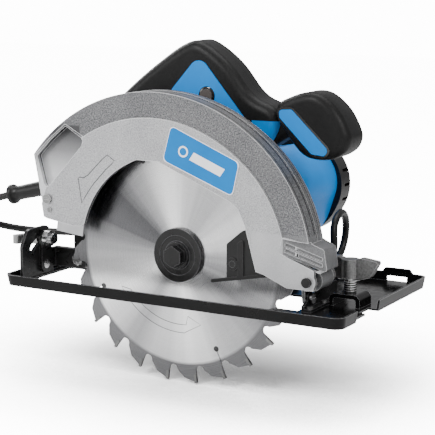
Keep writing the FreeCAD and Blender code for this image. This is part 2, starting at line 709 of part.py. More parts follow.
def cover_screws():
    heads = []
    for degrees in (60, 150, 240, 330):
        u, v = polar(33, degrees, (35, 43))
        heads.append(rod("y", u, v, 3.5, MOTOR_Y2, MOTOR_Y2 + 1.5))
    return group(heads)


def brush_caps():
    caps = []
    envelope = motor_envelope()
    caps.append(rod("z", MOTOR[0], 147, 7, MOTOR[1] + 34, MOTOR[1] + 60).common(envelope))
    caps.append(rod("z", MOTOR[0], 147, 7, MOTOR[1] - 60, MOTOR[1] - 34).common(envelope))
    return group(caps)


def carbon_brushes():
    x, z = MOTOR
    return group([box(x - 3, x + 3, 143, 151, z + 13.5, z + 34), box(x - 3, x + 3, 143, 151, z - 34, z - 13.5)])


def stator_core():
    return tube("y", *MOTOR, 38, 24, 75, 125)


def field_coils():
    coils = []
    for y0, y1 in ((66, 75), (125, 134)):
        for start in (20, 200):
            coils.append(arc_band(MOTOR, 24, 36, start, start + 140, y0, y1))
    return group(coils)


def motor_bearings():
    return group([tube("y", *MOTOR, 13, SHAFT_R, 40, 46), tube("y", *MOTOR, 13, SHAFT_R, 166, 172)])


def spindle_bearings():
    return group([tube("y", 0, 0, 16, SPINDLE_R, 10, 19), tube("y", 0, 0, 14, SPINDLE_R, 39.5, 45)])


def bearing_retainer():
    return tube("y", 0, 0, 24, 16, 8.5, 22)


# ---------------------------------------------------------------- handle

GRIP_LINE = [(-76, 141), (-64, 151), (-34, 173), (-14, 185), (-1, 188), (10, 184), (23, 175.5), (35, 165),
             (45, 153), (53, 144), (62, 138), (74, 133), (82, 124), (80, 110), (70, 95),
             (50, 70), (20, 50), (-12, 40), (-60, 36), (-112, 36), (-130, 42), (-137, 60), (-132, 85),
             (-108, 114)]
HAND_HOLE = [(-25, 127), (-65, 104), (-103, 77), (-108, 68), (-98, 61), (-60, 59), (-36, 62), (-20, 76),
             (-15, 100), (-17, 120)]


def handle_envelope():
    return soften(smooth_plate("y", GRIP_LINE, HANDLE_Y0, HANDLE_Y1), "y", 9, [HANDLE_Y0, HANDLE_Y1])


def handle_whole():
    hole = smooth_plate("y", HAND_HOLE, HANDLE_Y0 - 1, HANDLE_Y1 + 1)
    body = handle_envelope().cut(hole)
    housings = [gear_envelope(), motor_envelope()]
    switch_room = plate("y", [(-68, 100), (-24, 110), (-12, 114), (-2, 142), (-16, 158), (-74, 124)], 38, 56)
    button_bore = rod("y", 12, 140, 6.3, 20, 40)
    boss_room = rod("x", 31, 0, 8, -44, -33)
    solids = body.cut(housings + [switch_room, button_bore, boss_room]).Solids
    biggest = max(solids, key=lambda solid: solid.Volume)
    return biggest


def handle_half(whole, y0, y1):
    return whole.common(box(-260, 200, y0, y1, -100, 300))


def handle_inset():
    corners = [(-25, 143.5, 4), (4, 176, 10), (52, 120, 3), (44, 112, 3), (-20, 124, 4)]
    return plate("y", corners, HANDLE_Y0 - 0.8, HANDLE_Y0).cut(rod("y", 12, 140, 6.3, 20, 37))


FRONT_GRIP = [(82, 136), (93, 142.5), (107, 147), (119, 147), (130, 141.5), (141, 131), (148.5, 118), (151, 109),
              (148, 100), (140, 93.5), (130, 90), (119.5, 89.5), (108, 92), (98.5, 100), (89.5, 111.5), (81.5, 124)]


def front_grip():
    body = soften(smooth_plate("y", FRONT_GRIP, 25, 62), "y", 3, [25, 62])
    neck = hull("y", (92, 120), 10, (66, 106), 12, 34, 58)
    whole = join([body, neck])
    return whole


def front_grip_inset():
    corners = [(85.5, 131.5, 3), (97.5, 132.5, 4), (133, 99, 4), (129, 94, 2.5), (117, 95, 5), (86, 125, 4)]
    return plate("y", corners, 24.3, 25)


def switch_body():
    return plate("y", [(-58, 119), (-28, 137), (-33, 146), (-63, 128)], 39, 55)


def trigger():
    lever = plate("y", [(-12, 141, 2), (-8, 135, 2), (-22, 116, 5), (-46, 98, 5), (-54, 100, 3), (-56, 109, 2)],
                  41, 53)
    return lever.cut(rod("y", -14, 136, 1.6, 38, 56))


def trigger_pin():
    return rod("y", -14, 136, 1.55, 38, 56)


def lock_off_button():
    return join([rod("y", 12, 140, 6, 25.5, 33), rod("y", 12, 140, 4, 33, 35)])


def spindle_lock_button():
    return join([rod("x", 31, 0, 4.5, -47, -36.6), rod("x", 31, 0, 6.5, -50, -46.6)])


# ---------------------------------------------------------------- clamp lever, cord

def depth_bolt():
    return join([rod("y", *DEPTH_BOLT, 6, 11.4, 14), rod("y", *DEPTH_BOLT, 3, 13.9, 34)])


def depth_lever():
    u, v = DEPTH_BOLT
    hub = rod("y", u, v, 8, 24, 33)
    arm = hull("y", (u, v), 6, (u - 26, v - 3), 4.5, 27, 32)
    return join([hub, arm]).cut(rod("y", u, v, 3 + FIT, 23, 34.5))


GLAND_START = V(-137, CORD_Y, 50.6)
GLAND_END = V(-213, CORD_Y, 32)


def gland_line():
    line = GLAND_END - GLAND_START
    line.normalize()
    return line


def cord_guard():
    line = gland_line()
    length = (GLAND_END - GLAND_START).Length
    sleeve = Part.makeCone(8, 7, length, GLAND_START, line)
    collar = Part.makeCylinder(9.7, 5, GLAND_END - line * 5, line)
    return join([sleeve, collar])


CORD_POINTS = [GLAND_END, V(-256, CORD_Y, 21), V(-284, 64, -2), V(-262, 102, -18), V(-212, 120, -20),
               V(-160, 119, -15), V(-118, 116, -21), V(-74, 112.5, -30.4), V(-34, 112.5, -30.4)]
HANK_ENDS = ((-12.0, 83.0), (42.0, 83.0))
HANK_OUT_R, HANK_IN_R = 33.0, 18.5
HANK_TOP = -19.5


def power_cord():
    """Round cord along straight runs joined by tangent arcs."""
    edges = []
    start = CORD_POINTS[0]
    length = 0.0
    for i in range(1, len(CORD_POINTS) - 1):
        here = CORD_POINTS[i]
        back = CORD_POINTS[i - 1] - here
        ahead = CORD_POINTS[i + 1] - here
        shorter = min(back.Length, ahead.Length)
        back.normalize()
        ahead.normalize()
        half_turn = (math.pi - math.acos(back.dot(ahead))) / 2
        reach = 0.45 * shorter
        radius = reach / math.tan(half_turn)
        print("cord bend radius %.1f" % radius)
        middle = back + ahead
        middle.normalize()
        depth = radius / math.cos(half_turn) - radius
        enter = here + back * reach
        leave = here + ahead * reach
        edges.append(Part.makeLine(start, enter))
        edges.append(Part.Arc(enter, here + middle * depth, leave).toShape())
        length += (enter - start).Length + 2 * half_turn * radius
        start = leave
    edges.append(Part.makeLine(start, CORD_POINTS[-1]))
    length += (CORD_POINTS[-1] - start).Length
    path = Part.Wire(edges)
    heading = CORD_POINTS[1] - CORD_POINTS[0]
    section = Part.Wire(Part.makeCircle(CORD_D / 2, CORD_POINTS[0], heading))
    body = path.makePipeShell([section], True, True)
    print("cord length %.1f volume %.0f of %.0f" % (length, body.Volume, math.pi * CORD_D ** 2 / 4 * length))
    return body


def cord_hank():
    """Outer shape of the four turns that lie under the motor, two on two."""
    back, front = HANK_ENDS
    outside = hull("z", back, HANK_OUT_R, front, HANK_OUT_R, PLATE_TOP, HANK_TOP)
    return outside.cut(hull("z", back, HANK_IN_R, front, HANK_IN_R, PLATE_TOP - 1, HANK_TOP + 1))


LOOP_AT = V(94, 136, -0.3)
LOOP_R = 22.0
LOOP_TURN_DEG = 95.0
LOOP_WIDE = 15.0


def cord_loop():
    """Outer shape of the turn that stands on edge by the motor, and of the cord that leads to it and away."""
    turn = math.radians(LOOP_TURN_DEG)
    across = V(math.sin(turn), -math.cos(turn), 0)
    side = LOOP_AT - across * LOOP_WIDE / 2
    ring = Part.makeCylinder(LOOP_R + CORD_D / 2, LOOP_WIDE, side, across)
    eye = Part.makeCylinder(LOOP_R - CORD_D, LOOP_WIDE, side, across)
    lead = hull("z", (88, 126), 8, (66, 106), 6, PLATE_TOP, -24)
    crossing = hull("z", (88, 114), 8, (56, 124), 5, PLATE_TOP, -16)
    tail = hull("z", (56, 124), 5, (11, PLUG_Y), 5, PLATE_TOP, -22)
    return join([ring.cut(eye), lead, crossing, tail]).cut(cord_hank())


def put_away_cord():
    return group([cord_hank(), cord_loop()])


def wire_tie():
    """Band over the turns on one side of the hank."""
    y0 = HANK_ENDS[0][1] + HANK_IN_R
    y1 = HANK_ENDS[0][1] + HANK_OUT_R
    outer = box(10, 16, y0 - 1.2, y1 + 1.2, PLATE_TOP, HANK_TOP + 1.2)
    return outer.cut(box(9, 17, y0, y1, PLATE_TOP - 1, HANK_TOP))


PLUG_Y = 125.0


def plug():
    y0, y1 = PLUG_Y - 8.4, PLUG_Y + 8.4
    return plate("z", [(-30, y0, 4), (6, y0, 5), (6, y1, 5), (-30, y1, 4)], PLATE_TOP, PLATE_TOP + 18)


def plug_pins():
    z = PLATE_TOP + 9
    return group([rod("x", y, z, 2.4, -49, -30) for y in (PLUG_Y - 4.5, PLUG_Y + 4.5)])


whole_handle = handle_whole()
front_body = front_grip()
NODES = {
    "base_plate": base_plate(),
    "front_bracket": front_bracket(),
    "rear_quadrant": rear_quadrant(),
    "base_rivets": base_rivets(),
    "sight_tongue": sight_tongue(),
    "fence_bridge": fence_bridge(),
    "fence_wing_bolt": fence_wing_bolt(),
    "front_tilt_bracket": front_tilt_bracket(),
    "rear_tilt_bracket": rear_tilt_bracket(),
    "bevel_pins": bevel_pins(),
    "depth_pin": depth_pin(),
    "depth_arm": depth_arm(),
    "depth_arm_screw": depth_arm_screw(),
    "bevel_nut": bevel_nut(),
    "bevel_wing_bolt": bevel_wing_bolt(),
    "upper_guard": upper_guard(),
    "side_label": side_label(),
    "lower_guard": lower_guard(),
    "guard_lever": guard_lever(),
    "lever_screw": lever_screw(),
    "blade": blade(),
    "blade_tips": group(tip_blocks(TIP_HALF)),
    "inner_flange": inner_flange(),
    "outer_flange": outer_flange(),
    "blade_bolt": blade_bolt(),
    "spindle": spindle(),
    "drive_gear": drive_gear(),
    "armature_shaft": armature_shaft(),
    "armature_core": armature_core(),
    "commutator": tube("y", *MOTOR, 13, SHAFT_R, 138, 156),
    "cooling_fan": cooling_fan(),
    "gear_housing": gear_housing(),
    "housing_screws": group([guard_screws(), housing_screws()]),
    "motor_housing": motor_housing(),
    "motor_end_cover": motor_end_cover(),
    "cover_screws": cover_screws(),
    "brush_caps": brush_caps(),
    "carbon_brushes": carbon_brushes(),
    "stator_core": stator_core(),
    "field_coils": field_coils(),
    "ball_bearings": group([motor_bearings(), spindle_bearings()]),
    "bearing_retainer": bearing_retainer(),
    "handle_right": handle_half(whole_handle, 20, HANDLE_MID),
    "handle_left": handle_half(whole_handle, HANDLE_MID, 70),
    "handle_inset": handle_inset(),
    "front_grip": front_body.cut([whole_handle, motor_envelope(), gear_envelope()]),
    "front_grip_inset": front_grip_inset(),
    "switch_body": switch_body(),
    "trigger": trigger(),
    "trigger_pin": trigger_pin(),
    "lock_off_button": lock_off_button(),
    "spindle_lock_button": spindle_lock_button(),
    "depth_bolt": depth_bolt(),
    "depth_lever": depth_lever(),
    "cord_guard": cord_guard().cut(whole_handle),
    "power_cord": power_cord(),
    "cord_hank": put_away_cord(),
    "wire_tie": wire_tie(),
    "plug": plug(),
    "plug_pins": plug_pins(),
}
for name, shape in NODES.items():
    save(name, shape)
print(len(NODES), "nodes")
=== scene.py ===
import json
import math

import bpy
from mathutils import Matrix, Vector


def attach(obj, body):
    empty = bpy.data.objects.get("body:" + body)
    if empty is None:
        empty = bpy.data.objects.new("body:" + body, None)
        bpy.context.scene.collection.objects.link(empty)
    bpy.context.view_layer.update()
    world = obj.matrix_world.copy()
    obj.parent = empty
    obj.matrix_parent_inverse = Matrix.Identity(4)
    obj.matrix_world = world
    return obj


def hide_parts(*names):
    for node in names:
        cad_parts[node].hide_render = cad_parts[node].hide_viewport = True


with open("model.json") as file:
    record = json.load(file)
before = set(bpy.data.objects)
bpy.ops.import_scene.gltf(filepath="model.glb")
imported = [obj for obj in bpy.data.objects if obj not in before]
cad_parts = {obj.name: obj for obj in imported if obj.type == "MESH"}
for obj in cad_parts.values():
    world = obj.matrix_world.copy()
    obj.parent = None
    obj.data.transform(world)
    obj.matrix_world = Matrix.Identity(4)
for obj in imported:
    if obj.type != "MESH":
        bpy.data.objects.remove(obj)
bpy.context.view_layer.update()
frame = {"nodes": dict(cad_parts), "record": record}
NODES = frame["nodes"]

MM = 0.001
# The CAD was drawn about the blade centre, and this is where that centre is.
BLADE_AT = Vector((-11, -44, 36)) * MM
# The floor is this far below it, in metres, just under the lowest tooth.
FLOOR_DROP = 0.1177

CAMERA_AT = (0.6494, -1.1323, 0.2996)
CAMERA_AIM = (0.0276, -0.044, 0.0729)
LENS_MM = 120.6
SENSOR_MM = 36
STUDIO_AIM = (0, 0, 0.05)
FLOOR_HALF = 4
FLOOR_GLOW = 16.0
BACKDROP_GLOW = 14.0
# Reach, in metres, and depth of the painted soft shadow that ambient occlusion darkens into the floor's glow.
SHADOW_REACH, SHADOW_POWER = 0.2, 3.6


def at(x, y, z):
    """Point in metres from millimetres about the blade centre."""
    return BLADE_AT + Vector((x, y, z)) * MM


# ------------------------------------------------------------------ shader helpers

def new_material(name):
    material = bpy.data.materials.new(name)
    material.use_nodes = True
    tree = material.node_tree
    return material, tree, tree.nodes["Principled BSDF"]


def add_node(tree, kind, **values):
    node = tree.nodes.new(kind)
    for key, value in values.items():
        setattr(node, key, value)
    return node


def noise(tree, scale, detail=3.0, roughness=0.55):
    """Noise in the row frame, so its grain has a real size."""
    coords = add_node(tree, "ShaderNodeTexCoord")
    texture = add_node(tree, "ShaderNodeTexNoise")
    texture.inputs["Scale"].default_value = scale
    texture.inputs["Detail"].default_value = detail
    texture.inputs["Roughness"].default_value = roughness
    tree.links.new(coords.outputs["Object"], texture.inputs["Vector"])
    return texture.outputs["Fac"]


def ramp(tree, factor, stops):
    """Colour ramp from (position, rgb) stops."""
    node = add_node(tree, "ShaderNodeValToRGB")
    elements = node.color_ramp.elements
    while len(elements) < len(stops):
        elements.new(0.5)
    for element, (position, colour) in zip(elements, stops):
        element.position = position
        element.color = (*colour, 1)
    tree.links.new(factor, node.inputs["Fac"])
    return node.outputs["Color"]


def spread(tree, factor, low, high):
    """Number from low to high as a noise factor goes from 0.3 to 0.7."""
    node = add_node(tree, "ShaderNodeMapRange")
    node.inputs["From Min"].default_value = 0.3
    node.inputs["From Max"].default_value = 0.7
    node.inputs["To Min"].default_value = low
    node.inputs["To Max"].default_value = high
    tree.links.new(factor, node.inputs["Value"])
    return node.outputs["Result"]


def bump(tree, shader, factor, strength, distance):
    node = add_node(tree, "ShaderNodeBump")
    node.inputs["Strength"].default_value = strength
    node.inputs["Distance"].default_value = distance
    tree.links.new(factor, node.inputs["Height"])
    tree.links.new(node.outputs["Normal"], shader.inputs["Normal"])


# Cosine between a face and its rounded normal: where the worn and painted-highlight edge begins, and where it
# is full.
EDGE_WEAR_AND_HIGHLIGHT_BEGINS, EDGE_WEAR_AND_HIGHLIGHT_FULL = 0.995, 0.86


def edge_mask(tree, width):
    """1 along the outer edges of a piece and 0 on its flats."""
    rounded = add_node(tree, "ShaderNodeBevel", samples=6)
    rounded.inputs["Radius"].default_value = width
    flat = add_node(tree, "ShaderNodeNewGeometry")
    dot = add_node(tree, "ShaderNodeVectorMath", operation="DOT_PRODUCT")
    tree.links.new(rounded.outputs["Normal"], dot.inputs[0])
    tree.links.new(flat.outputs["Normal"], dot.inputs[1])
    mask = add_node(tree, "ShaderNodeMapRange")
    mask.inputs["From Min"].default_value = EDGE_WEAR_AND_HIGHLIGHT_BEGINS
    mask.inputs["From Max"].default_value = EDGE_WEAR_AND_HIGHLIGHT_FULL
    tree.links.new(dot.outputs["Value"], mask.inputs["Value"])
    return mask.outputs["Result"]


def coordinate(tree, axis):
    """Row-frame X, Y or Z in metres."""
    coords = add_node(tree, "ShaderNodeTexCoord")
    split = add_node(tree, "ShaderNodeSeparateXYZ")
    tree.links.new(coords.outputs["Object"], split.inputs["Vector"])
    return split.outputs[axis]


def calc(tree, operation, first, second=None, third=None):
    """Math node on sockets or numbers, of which only some operations take a second or third."""
    node = add_node(tree, "ShaderNodeMath", operation=operation)
    for socket, value in zip(node.inputs, (first, second, third)):
        if value is None:
            continue
        if isinstance(value, (int, float)):
            socket.default_value = value
        else:
            tree.links.new(value, socket)
    return node.outputs["Value"]


def product(tree, first, *others):
    """Product of a socket or number and any more of them."""
    for other in others:
        first = calc(tree, "MULTIPLY", first, other)
    return first


def inverse(tree, value):
    """1 where the value is 0, and 0 where it is 1."""
    return calc(tree, "SUBTRACT", 1.0, value)


def step_at(tree, value, edge, soft):
    """0 below the edge and 1 above it, over a soft width."""
    node = add_node(tree, "ShaderNodeMapRange")
    node.inputs["From Min"].default_value = edge - soft / 2
    node.inputs["From Max"].default_value = edge + soft / 2
    tree.links.new(value, node.inputs["Value"])
    return node.outputs["Result"]


def mix_colour(tree, factor, first, second):
    """Colour from first to second, each a socket or an rgb."""
    node = add_node(tree, "ShaderNodeMix", data_type="RGBA")
    tree.links.new(factor, node.inputs["Factor"])
    for socket, value in ((node.inputs["A"], first), (node.inputs["B"], second)):
        if isinstance(value, tuple):
            socket.default_value = (*value, 1)
        else:
            tree.links.new(value, socket)
    return node.outputs["Result"]


def grey(value):
    return (value, value, value)


# Scale of the slow change of colour over a piece, and roughness of a lacquer coat.
BROAD_SCALE = 25.0
COAT_ROUGHNESS = 0.12


def surface(name, dark, light, rough, metal=0.0, grain=400.0, relief=0.15, depth=0.0002,
            coat=0.0, edge=None, edge_width=0.0008, glow=0.0, gloss=0.5):
    """Material that varies between two colours and two roughnesses, with a fine relief.

    edge is the colour of the outer edges, partly wear and partly a painted highlight, edge_width their width
    in metres, and glow how strongly the material gives off its own colour, which is painted light.
    """
    material, tree, shader = new_material(name)
    broad = noise(tree, BROAD_SCALE, 4.0)
    fine = noise(tree, grain, 3.0)
    colour = ramp(tree, broad, [(0.3, dark), (0.7, light)])
    if edge:
        colour = mix_colour(tree, edge_mask(tree, edge_width), colour, edge)
    tree.links.new(colour, shader.inputs["Base Color"])
    if glow:
        tree.links.new(colour, shader.inputs["Emission Color"])
        shader.inputs["Emission Strength"].default_value = glow
    tree.links.new(spread(tree, fine, rough[0], rough[1]), shader.inputs["Roughness"])
    shader.inputs["Metallic"].default_value = metal
    shader.inputs["Specular IOR Level"].default_value = gloss
    shader.inputs["Coat Weight"].default_value = coat
    shader.inputs["Coat Roughness"].default_value = COAT_ROUGHNESS
    bump(tree, shader, fine, relief, depth)
    return material


# Zones of the cast guard, in millimetres about the blade centre. The recess at its rear carries painted
# shade, light at the foot and dark at the top, so it looks the same from every side and in every light.
FLAT_Y = -21.3
NOSE_X, NOSE_TOP = 84, 32
RECESS_X, RECESS_LOW, RECESS_RISE, RECESS_TOP = -92, 60, 50, 112
NEAR_HALF_Y = -8
# Painted shade in the grooves round the rim: the Y and half the width of each.
RIM_GROOVE_SHADE = ((-16.5, 0.6), (-6.5, 1.1), (3.0, 0.7))


def guard_material():
    """Sand-cast aluminium: a grainy outer band, a lighter flat that stands proud, bright edges that are
    partly wear and partly painted highlight, and painted shade in the recess and grooves.
    """
    material, tree, shader = new_material("cast_guard")
    x, y, z = (coordinate(tree, axis) for axis in "XYZ")
    speckle = noise(tree, 850, 3.0, roughness=0.7)
    band = ramp(tree, speckle, [(0.34, (0.065, 0.065, 0.067)), (0.5, (0.16, 0.161, 0.165)),
                                (0.66, (0.32, 0.322, 0.33))])
    flat = ramp(tree, speckle, [(0.34, (0.27, 0.272, 0.278)), (0.66, (0.60, 0.602, 0.61))])
    set_back = step_at(tree, y, BLADE_AT.y + FLAT_Y * MM, 0.2 * MM)
    colour = mix_colour(tree, set_back, flat, band)

    over_nose = step_at(tree, z, BLADE_AT.z + NOSE_TOP * MM, 2 * MM)
    ahead = step_at(tree, x, BLADE_AT.x + NOSE_X * MM, 3 * MM)
    # On the nose the ribs stand proud and light, and the grooves between them carry painted shade.
    rib = ramp(tree, speckle, [(0.3, (0.40, 0.402, 0.408)), (0.7, (0.56, 0.562, 0.57))])
    groove_shade = ramp(tree, speckle, [(0.3, (0.13, 0.131, 0.134)), (0.7, (0.27, 0.272, 0.276))])
    nose = product(tree, ahead, inverse(tree, over_nose))
    colour = mix_colour(tree, nose, colour, mix_colour(tree, set_back, rib, groove_shade))

    # Painted shade in the rear recess, kept in smooth: light at its foot and dark at its top.
    up_recess = calc(tree, "SUBTRACT", z, BLADE_AT.z + RECESS_LOW * MM)
    smooth = ramp(tree, calc(tree, "DIVIDE", up_recess, RECESS_RISE * MM),
                  [(0.1, (0.66, 0.662, 0.67)), (0.55, (0.26, 0.261, 0.265)), (0.9, (0.07, 0.07, 0.072))])
    behind = inverse(tree, step_at(tree, x, BLADE_AT.x + RECESS_X * MM, 2 * MM))
    below = inverse(tree, step_at(tree, z, BLADE_AT.z + RECESS_TOP * MM, 2 * MM))
    near_half = inverse(tree, step_at(tree, y, BLADE_AT.y + NEAR_HALF_Y * MM, 2 * MM))
    recess = product(tree, behind, below, set_back, near_half)
    colour = mix_colour(tree, recess, colour, smooth)

    # Each rim groove is painted dark as its shade.
    for middle, half in RIM_GROOVE_SHADE:
        off = calc(tree, "ABSOLUTE", calc(tree, "SUBTRACT", y, BLADE_AT.y + middle * MM))
        line = product(tree, inverse(tree, step_at(tree, off, half * MM, 0.5 * MM)), over_nose)
        colour = mix_colour(tree, line, colour, (0.03, 0.03, 0.032))

    cloud = ramp(tree, noise(tree, 22, 4.0), [(0.3, (0.82, 0.82, 0.83)), (0.7, (1.0, 1.0, 1.0))])
    tint = add_node(tree, "ShaderNodeMix", data_type="RGBA", blend_type="MULTIPLY")
    tint.inputs["Factor"].default_value = 1.0
    tree.links.new(colour, tint.inputs["A"])
    tree.links.new(cloud, tint.inputs["B"])
    # Bright edges on the guard, partly wear and partly painted highlight.
    worn_and_highlit = mix_colour(tree, edge_mask(tree, 0.0009), tint.outputs["Result"], (0.86, 0.86, 0.87))
    tree.links.new(worn_and_highlit, shader.inputs["Base Color"])
    tree.links.new(spread(tree, speckle, 0.38, 0.62), shader.inputs["Roughness"])
    shader.inputs["Metallic"].default_value = 0.75
    bump(tree, shader, speckle, 0.4, 0.0003)
    return material


# The wing bolt is bright below its neck, in millimetres about the blade centre, and its thread is painted at
# this pitch as dark bands of shade in the grooves and bright bands of highlight on the crests.
WING_BOLT_NECK = -10
THREAD_PITCH = 2


def wing_bolt_material():
    """Dull zinc head over a bright stud, with painted shade and highlight for its thread."""
    material, tree, shader = new_material("wing_bolt_zinc")
    grain = noise(tree, 600, 3.0)
    head = ramp(tree, grain, [(0.3, grey(0.10)), (0.7, (0.20, 0.20, 0.198))])
    # Its bright edges are partly wear and partly painted highlight.
    head = mix_colour(tree, edge_mask(tree, 0.0007), head, grey(0.42))
    height = coordinate(tree, "Z")
    above = step_at(tree, height, BLADE_AT.z + WING_BOLT_NECK * MM, 0.3 * MM)
    # The thread is painted: dark shade in its grooves and a bright highlight on its crests.
    wave = calc(tree, "SINE", calc(tree, "MULTIPLY", height, 2 * math.pi / (THREAD_PITCH * MM)))
    ridge = step_at(tree, wave, 0.0, 1.2)
    painted_thread_bands = mix_colour(tree, ridge, grey(0.05), grey(0.80))
    tree.links.new(mix_colour(tree, above, painted_thread_bands, head), shader.inputs["Base Color"])
    tree.links.new(spread(tree, grain, 0.3, 0.45), shader.inputs["Roughness"])
    shader.inputs["Metallic"].default_value = 0.9
    bump(tree, shader, grain, 0.3, 0.0002)
    return material


BLUE_DARK = (0.0, 0.145, 0.44)
BLUE_LIGHT = (0.0, 0.175, 0.52)
# The handle is blue ahead of SHELL_X and below SHELL_TOP, and its halves meet at SEAM_Y, in millimetres
# about the blade centre.
SHELL_X, SHELL_TOP = 57, 120.5
SEAM_Y = 47


def handle_material():
    """Soft black grip over a blue shell, with the moulding seam between the halves."""
    material, tree, shader = new_material("soft_grip")
    x, y, z = (coordinate(tree, axis) for axis in "XYZ")
    grain = noise(tree, 1300, 3.0)
    black = ramp(tree, grain, [(0.3, grey(0.003)), (0.7, grey(0.009))])
    shader.inputs["Specular IOR Level"].default_value = 0.16
    blue = ramp(tree, noise(tree, 30, 3.0), [(0.3, BLUE_DARK), (0.7, BLUE_LIGHT)])
    forward = step_at(tree, x, BLADE_AT.x + SHELL_X * MM, 0.3 * MM)
    above = step_at(tree, z, BLADE_AT.z + SHELL_TOP * MM, 0.3 * MM)
    shell = product(tree, forward, inverse(tree, above))
    colour = mix_colour(tree, shell, black, blue)
    off_seam = calc(tree, "ABSOLUTE", calc(tree, "SUBTRACT", y, BLADE_AT.y + SEAM_Y * MM))
    seam = inverse(tree, step_at(tree, off_seam, 0.45 * MM, 0.2 * MM))
    colour = mix_colour(tree, seam, colour, grey(0.002))
    tree.links.new(colour, shader.inputs["Base Color"])
    tree.links.new(spread(tree, grain, 0.34, 0.52), shader.inputs["Roughness"])
    bump(tree, shader, calc(tree, "SUBTRACT", grain, seam), 0.35, 0.0004)
    return material


# Inside this radius, in metres, the blade is ground bright.
GROUND_R = 0.0995
# Brushed steel shines in fans across its centre: the direction in degrees and strength of each. They are
# painted in the blade's own coordinates, so they turn with it and don't follow the lights or the camera.
GLINTS = ((99, 1.0), (27, 0.6))


def blade_material():
    """Ground steel, brushed round the centre, with painted sheen in broad sectors and fans, and a darker ring
    outside.
    """
    material, tree, shader = new_material("blade_steel")
    coords = add_node(tree, "ShaderNodeTexCoord")
    offset = add_node(tree, "ShaderNodeVectorMath", operation="SUBTRACT")
    offset.inputs[1].default_value = BLADE_AT
    flat = add_node(tree, "ShaderNodeVectorMath", operation="MULTIPLY")
    flat.inputs[1].default_value = (1, 0, 1)
    length = add_node(tree, "ShaderNodeVectorMath", operation="LENGTH")
    tree.links.new(coords.outputs["Object"], offset.inputs[0])
    tree.links.new(offset.outputs["Vector"], flat.inputs[0])
    tree.links.new(flat.outputs["Vector"], length.inputs[0])
    radius = length.outputs["Value"]
    rings = add_node(tree, "ShaderNodeTexNoise", noise_dimensions="1D")
    rings.inputs["Scale"].default_value = 2600
    rings.inputs["Detail"].default_value = 4
    tree.links.new(radius, rings.inputs["W"])
    unit = add_node(tree, "ShaderNodeVectorMath", operation="NORMALIZE")
    tree.links.new(flat.outputs["Vector"], unit.inputs[0])
    # Broad light and dark sectors round the centre: a painted sheen of the brushed steel.
    sheen_sectors = add_node(tree, "ShaderNodeTexNoise")
    sheen_sectors.inputs["Scale"].default_value = 1.25
    sheen_sectors.inputs["Detail"].default_value = 4
    tree.links.new(unit.outputs["Vector"], sheen_sectors.inputs["Vector"])
    outer_ring = step_at(tree, radius, GROUND_R, 0.003)
    painted_sheen = calc(tree, "MULTIPLY", sheen_sectors.outputs["Fac"], 0.9)
    for degrees, strength in GLINTS:
        turn = math.radians(degrees)
        along = add_node(tree, "ShaderNodeVectorMath", operation="DOT_PRODUCT")
        along.inputs[1].default_value = (math.cos(turn), 0, math.sin(turn))
        tree.links.new(unit.outputs["Vector"], along.inputs[0])
        fan = calc(tree, "POWER", calc(tree, "ABSOLUTE", along.outputs["Value"]), 16.0)
        painted_sheen = calc(tree, "ADD", painted_sheen, product(tree, fan, 0.4 * strength))
    steel = ramp(tree, painted_sheen, [(0.38, (0.11, 0.11, 0.115)), (0.54, (0.42, 0.42, 0.43)),
                               (0.82, (1.0, 1.0, 1.0))])
    outside = ramp(tree, rings.outputs["Fac"], [(0.3, (0.12, 0.12, 0.125)), (0.7, (0.22, 0.22, 0.225))])
    tree.links.new(mix_colour(tree, outer_ring, steel, outside), shader.inputs["Base Color"])
    tree.links.new(spread(tree, rings.outputs["Fac"], 0.24, 0.38), shader.inputs["Roughness"])
    shader.inputs["Metallic"].default_value = 1.0
    shader.inputs["Anisotropic"].default_value = 0.85
    tangent = add_node(tree, "ShaderNodeTangent", direction_type="RADIAL", axis="Y")
    tree.links.new(tangent.outputs["Tangent"], shader.inputs["Tangent"])
    bump(tree, shader, rings.outputs["Fac"], 0.12, 0.0001)
    return material



